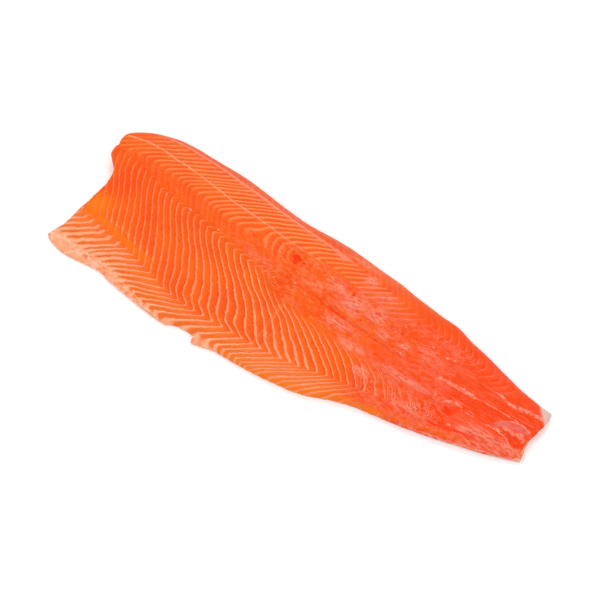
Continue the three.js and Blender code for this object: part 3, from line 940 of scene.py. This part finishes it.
# A pink painted highlight along the rim.
meat.lay((1 - rim.math("ABSOLUTE").step(0.6, 2.6)) * band * 0.7, WET_PINK_AND_SHEEN)
print("nodes with the loin:", len(meat.tree.nodes))

# %% [markdown]
# The tail half is wet, and its flesh is drawn out into threads: along the fish in the middle,
# and at a slant near the belly. Noise that is stretched five or twenty times along the thread
# looks like that. The pink of the wet patches is painted sheen, with darker red between. The
# tears come after the threads, so that no thread crosses a tear.

# %% Wet patches with painted sheen, threads and tears
gleam = meat.noise(4, 5, 0.65, meat.stretched(-42, (0.3, 1, 1)), 1.0)
fibre = meat.noise(2.4, 3, 0.6, meat.stretched(-1, (0.05, 1, 1)))
thread = meat.noise(2.1, 4, 0.65, meat.stretched(-22, (0.2, 1, 1)), 0.4)
# Painted sheen: pink patches on the wet flesh, with darker red between them.
meat.lay(wet * gleam.step(0.44, 0.56) * 0.85, WET_PINK_AND_SHEEN)
meat.lay(wet * (1 - gleam).step(0.54, 0.62) * 0.6, TAIL_RED_AND_SHADE)
meat.lay(wet * (1 - weave).step(0.58, 0.68) * 0.3, TAIL_RED_AND_SHADE)
meat.lay(stringy * fibre.step(0.54, 0.64) * 0.5, PINK_SINEW_AND_GLINT)
meat.lay(stringy * (1 - fibre).step(0.52, 0.62) * 0.5, DARK_ORANGE_AND_SHADE)
meat.lay(slant * 0.25, WET_PINK_AND_SHEEN)
meat.lay(slant * thread.step(0.48, 0.58) * 0.65, WET_PINK_AND_SHEEN)
meat.lay(slant * (1 - thread).step(0.52, 0.62) * 0.6, DARK_ORANGE_AND_SHADE)
meat.lay(torn * 0.94, TORN_RED)
print("nodes with the tail half:", len(meat.tree.nodes))

# %% [markdown]
# Three pale tissues lie over the muscle: the knobbly pink strings of sinew, the thin film and
# the scrap of silverskin at the tail, and the band of fat along the belly edge, which is
# blotched with meat. They could be pieces of their own, but they have grown onto the muscle
# and are too thin to show an edge, so colour and a little relief are enough. In the tail's pocket
# the same pink is used for painted highlights, which show through the thin places of the film.

# %% Sinew and painted glints, silverskin and belly fat
knots = meat.noise(2.4, 3, 0.65, meat.stretched(20, (0.7, 1, 1)))
sinew = (meat.mark("sinew") * (knots * 4 - 1.2)).step(0.25, 0.8)
sinew_and_glint_colour = meat.blend(meat.noise(3.5, 3, 0.6).step(0.44, 0.58), PINK_SINEW_AND_GLINT, PALE_SINEW_AND_GLINT)
meat.lay(sinew * 0.78, sinew_and_glint_colour)
at_back = meat.y.step(0.015, 0.025)
# Thin places in the film, where the painted highlights under it show through.
film_glint_gaps = (1 - at_back) * meat.noise(5, 3).step(0.42, 0.65) * 0.45
meat.lay(meat.mark("film").math("MINIMUM", 1) * (0.9 - film_glint_gaps),
         meat.blend(at_back, FILM_MAUVE, FILM_GREY))
fat = (meat.mark("fat") + (flecks - 0.5) * 0.9).step(0.3, 0.8)
pale = meat.blend(meat.noise(7, 3).step(0.42, 0.66), BELLY_PINK, WHITE_FAT)
blots = meat.noise(3.6, 3, 0.6, meat.stretched(6, (0.4, 1, 1)))
meat.lay(fat * 0.88, meat.blend(blots.step(0.53, 0.64) * 0.85, pale, ORANGE))
print("nodes with the pale tissues:", len(meat.tree.nodes))

# %% [markdown]
# Grain that is finer than the lattice can hold is bump, from the same values as the colour, so
# that each fleck stands where it is seen. Light enters the flesh a few millimetres, so it gets
# a little subsurface scattering. The wet patches are smoother, and they and the sinew have a
# thin clear coat.

# %% Grain and gloss of the flesh
height = (grain * 0.5 + flecks * (0.4 + wet * 0.8 + mottle) + line * show * 0.5
          + fibre * stringy * 1.5 + thread * slant * 1.5 + gleam * wet * 1.2
          + wisps * mottle * 0.9 + ripple_highlight * 0.25)
bump = meat.node("ShaderNodeBump", {}, {"Height": height, "Distance": 0.0008, "Strength": 1.0})
dull = 0.44 + meat.noise(11, 3) * 0.16 - wet * 0.2 - stringy * 0.14 - slant * 0.12 - mottle * 0.1
flesh_finish = meat.finish({
    "Roughness": dull, "Normal": bump, "Coat Weight": (wet * 0.15).math("MAXIMUM", sinew * 0.5),
    "Coat Roughness": 0.14, "Coat IOR": 1.4,
    "Subsurface Weight": 0.1, "Subsurface Radius": (1.0, 0.35, 0.15),
    "Subsurface Scale": 0.0015, "IOR": 1.4, "Specular IOR Level": 0.35,
    "Specular Tint": (1.0, 0.74, 0.5, 1.0)})


def add_piece(name, mesh, material):
    mesh.materials.append(material)
    piece = bpy.data.objects.new(name, mesh)
    bpy.context.scene.collection.objects.link(piece)
    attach(piece, "root")
    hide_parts("fillet")
    return piece


flesh = add_piece("flesh", flesh_mesh, flesh_finish)
print("flesh nodes:", len(flesh_mesh.materials[0].node_tree.nodes))

# %% [markdown]
# The skin lies under the flesh and wraps up the low walls of its two long sides: nearly to
# their top at the back, where it is steel blue, and halfway at the belly, where it is white.
# It is one sheet with a thickness, so the sheet is drawn as a grid with two raised sides and
# then made solid.

# %% The skin
SKIN_LONG, SKIN_WIDE, SKIN_RISE = 240, 80, 6
BACK_RISE, BELLY_RISE = 0.82, 0.5    # share of the wall that the skin covers
TUCK = 0.5                       # how far the skin's rim stays under the solid's top


def skin_sheet():
    bm = bmesh.new()
    bmesh.ops.create_grid(bm, x_segments=SKIN_LONG, y_segments=SKIN_WIDE, size=0.5)
    rise = bm.verts.layers.float.new("rise")
    for side in (-0.5, 0.5):
        rim = [edge for edge in bm.edges if edge.is_boundary
               and all(abs(vert.co.y - side) < 1e-5 for vert in edge.verts)]
        for step in range(SKIN_RISE):
            pulled = bmesh.ops.extrude_edge_only(bm, edges=rim)["geom"]
            for vert in (item for item in pulled if isinstance(item, bmesh.types.BMVert)):
                vert[rise] = (step + 1) / SKIN_RISE
                vert.co.z = vert[rise]
            rim = [item for item in pulled if isinstance(item, bmesh.types.BMEdge)
                   and all(abs(vert[rise] - (step + 1) / SKIN_RISE) < 1e-5 for vert in item.verts)]
    points = np.array([(*vert.co, vert[rise]) for vert in bm.verts])
    u, v = crowd(points[:, 0] + 0.5, END_CROWDING), crowd(points[:, 1] + 0.5, EDGE_CROWDING)
    edges = plan(u, v)
    share = np.where(v > 0.5, BACK_RISE, BELLY_RISE) * (1 + 0.12 * ruffle(edges[0], 0, 25, 9))
    down = 1 - points[:, 3] * np.clip(share, 0, 0.95)
    top = np.maximum(thickness(*edges) - TUCK, SKIN + LEAST_FLESH)
    placed = to_metres(
        edges[0] + wall_inset(down) * (1 - 2 * u),
        edges[1] + (wall_inset(down) + SKIN) * (1 - 2 * v), mix(top, SKIN, down))
    for vert, place in zip(bm.verts, placed):
        vert.co = place
    bm.normal_update()
    bmesh.ops.recalc_face_normals(bm, faces=bm.faces)
    # The sheet is the skin's inner face. It has to look up, so that the wall grows outwards.
    if min(bm.faces, key=lambda face: face.calc_center_median().length).normal.z < 0:
        bmesh.ops.reverse_faces(bm, faces=bm.faces)
    bm.normal_update()
    bmesh.ops.solidify(bm, geom=bm.faces, thickness=SKIN / 1000)
    mesh = bpy.data.meshes.new("skin")
    bm.to_mesh(mesh)
    bm.free()
    mesh.shade_smooth()
    return mesh


skin_mesh = skin_sheet()
points = read_points(skin_mesh, "co", 3)
side_gap = 1000 * points[:, 1] + MIDDLE[1] - along(LATERAL_LINE, 1000 * points[:, 0] + MIDDLE[0])
skin_mesh.attributes.new("side_gap", "FLOAT", "POINT").data.foreach_set("value", side_gap)
print("skin spans, mm:", (1000 * np.ptp(points, axis=0)).round(1), "lowest", points[:, 2].min())

# %% [markdown]
# Salmon skin is silver with small overlapping scales, white towards the belly, blue-grey with
# a few dark spots towards the back, and the lateral line runs along it as a row of pale dashes.
# The scales are drawn from the place on the fish: rows of half circles, each row shifted by
# half a scale.

# %% Finish of the skin
SCALE_LONG, SCALE_WIDE = 4.2, 3.0    # mm
SILVER, WHITE_BELLY, STEEL_BLUE = paint(178, 184, 186), paint(232, 230, 224), paint(92, 104, 114)
SPOT_BLACK, PALE_DASH = paint(40, 44, 50), paint(206, 210, 208)


def skin_finish():
    hide = Bench("salmon skin")
    row = hide.y * (1000 / SCALE_WIDE)
    across = row.math("FRACT") - 0.5
    shift = row.math("FLOOR").math("MODULO", 2).math("ABSOLUTE") * 0.5
    ahead = (hide.x * (1000 / SCALE_LONG) + shift).math("FRACT")
    arc = ahead + across * across * 1.6
    edge = arc.step(0.72, 0.9) * (1 - arc.step(0.98, 1.1))
    tone = hide.y + (hide.noise(60, 2) - 0.5) * 0.02
    hide.colour = WHITE_BELLY
    hide.lay(tone.step(-0.09, -0.01), SILVER)
    hide.lay(tone.step(0.0, 0.085), STEEL_BLUE)
    hide.lay(edge * 0.45, hide.blend(tone.step(0, 0.09), SILVER, SPOT_BLACK))
    dash = (1 - hide.mark("side_gap").math("ABSOLUTE").step(0.3, 0.8)) * ahead.step(0.2, 0.4)
    hide.lay(dash * 0.8, PALE_DASH)
    cells = hide.node(
        "ShaderNodeTexVoronoi", {"feature": "F1"}, {"Vector": hide.place, "Scale": 50.0})
    outlets = cells.socket.node.outputs
    centre = hide.node(
        "ShaderNodeSeparateXYZ", {}, {"Vector": Wire(hide, outlets["Position"])}, "Y")
    chosen = Wire(hide, outlets["Color"]).step(0.6, 0.62) * centre.step(0.02, 0.021)
    blob = 1 - (cells + (hide.noise(4, 2) - 0.5) * 0.16).step(0.1, 0.15)
    hide.lay(blob * chosen * 0.9, SPOT_BLACK)
    height = (1 - arc.step(0.6, 1.05)) * 0.8 + hide.noise(1.5, 2) * 0.2
    bump = hide.node("ShaderNodeBump", {}, {"Height": height, "Distance": 0.0003, "Strength": 0.8})
    return hide.finish({
        "Roughness": 0.28 + hide.noise(14, 2) * 0.15, "Normal": bump,
        "Metallic": 0.35, "Coat Weight": 0.3, "Coat Roughness": 0.15})


skin = add_piece("skin", skin_mesh, skin_finish())
print("skin nodes:", len(skin_mesh.materials[0].node_tree.nodes))

# %% [markdown]
# The table is a plain pale plane. The light is soft: a bright even sky and three wide, weak
# lamps to the left, right and back, whose reflections only the tilted, wet parts catch.

# %% Table, light and camera
TABLE_REACH, SKY_STRENGTH = 6, 0.685
LENS, LENS_RISE = 91.8, -0.0083


def pale_table():
    bm = bmesh.new()
    bmesh.ops.create_grid(bm, x_segments=1, y_segments=1, size=TABLE_REACH)
    mesh = bpy.data.meshes.new("table")
    bm.to_mesh(mesh)
    bm.free()
    board = Bench("pale table")
    board.colour = board.blend(board.noise(3, 2), paint(247, 247, 247), paint(252, 252, 252))
    mesh.materials.append(board.finish({
        "Roughness": 0.8, "Emission Color": (1, 1, 1, 1), "Emission Strength": 0.12}))
    table = bpy.data.objects.new("table", mesh)
    bpy.context.scene.collection.objects.link(table)


def lamp(name, place, size, watts):
    light = bpy.data.lights.new(name, "AREA")
    light.shape, light.size, light.energy = "DISK", size, watts
    holder = bpy.data.objects.new(name, light)
    holder.location = place
    holder.rotation_euler = (-Vector(place)).to_track_quat("-Z", "Y").to_euler()
    bpy.context.scene.collection.objects.link(holder)


def sky(strength):
    world = bpy.data.worlds.new("sky")
    world.use_nodes = True
    world.node_tree.nodes["Background"].inputs["Color"].default_value = (1, 1, 1, 1)
    world.node_tree.nodes["Background"].inputs["Strength"].default_value = strength
    bpy.context.scene.world = world


def look(place, target, lens, rise):
    camera = bpy.data.cameras.new("camera")
    camera.lens, camera.sensor_width, camera.shift_y = lens, 36, rise
    holder = bpy.data.objects.new("camera", camera)
    holder.location = place
    holder.rotation_euler = (Vector(target) - Vector(place)).to_track_quat("-Z", "Y").to_euler()
    bpy.context.scene.collection.objects.link(holder)
    bpy.context.scene.camera = holder


CAMERA_DISTANCE, CAMERA_TURN, CAMERA_HEIGHT = 1.7, math.radians(34.3), math.radians(60)
TARGET = Vector((-0.00773, 0.00751, 0.010))
away = Vector((math.sin(CAMERA_TURN) * math.cos(CAMERA_HEIGHT),
               -math.cos(CAMERA_TURN) * math.cos(CAMERA_HEIGHT), math.sin(CAMERA_HEIGHT)))
pale_table()
sky(SKY_STRENGTH)
lamp("left lamp", (-0.75, -1.0, 1.3), 1.0, 6)
lamp("right lamp", (1.3, 0.1, 1.3), 0.6, 5)
lamp("back lamp", (-0.35, 0.8, 1.4), 0.5, 5)
look(TARGET + CAMERA_DISTANCE * away, TARGET, LENS, LENS_RISE)
bpy.context.scene.view_settings.view_transform = "Standard"
print("camera at", [round(c, 4) for c in bpy.context.scene.camera.location])

# %% [markdown]
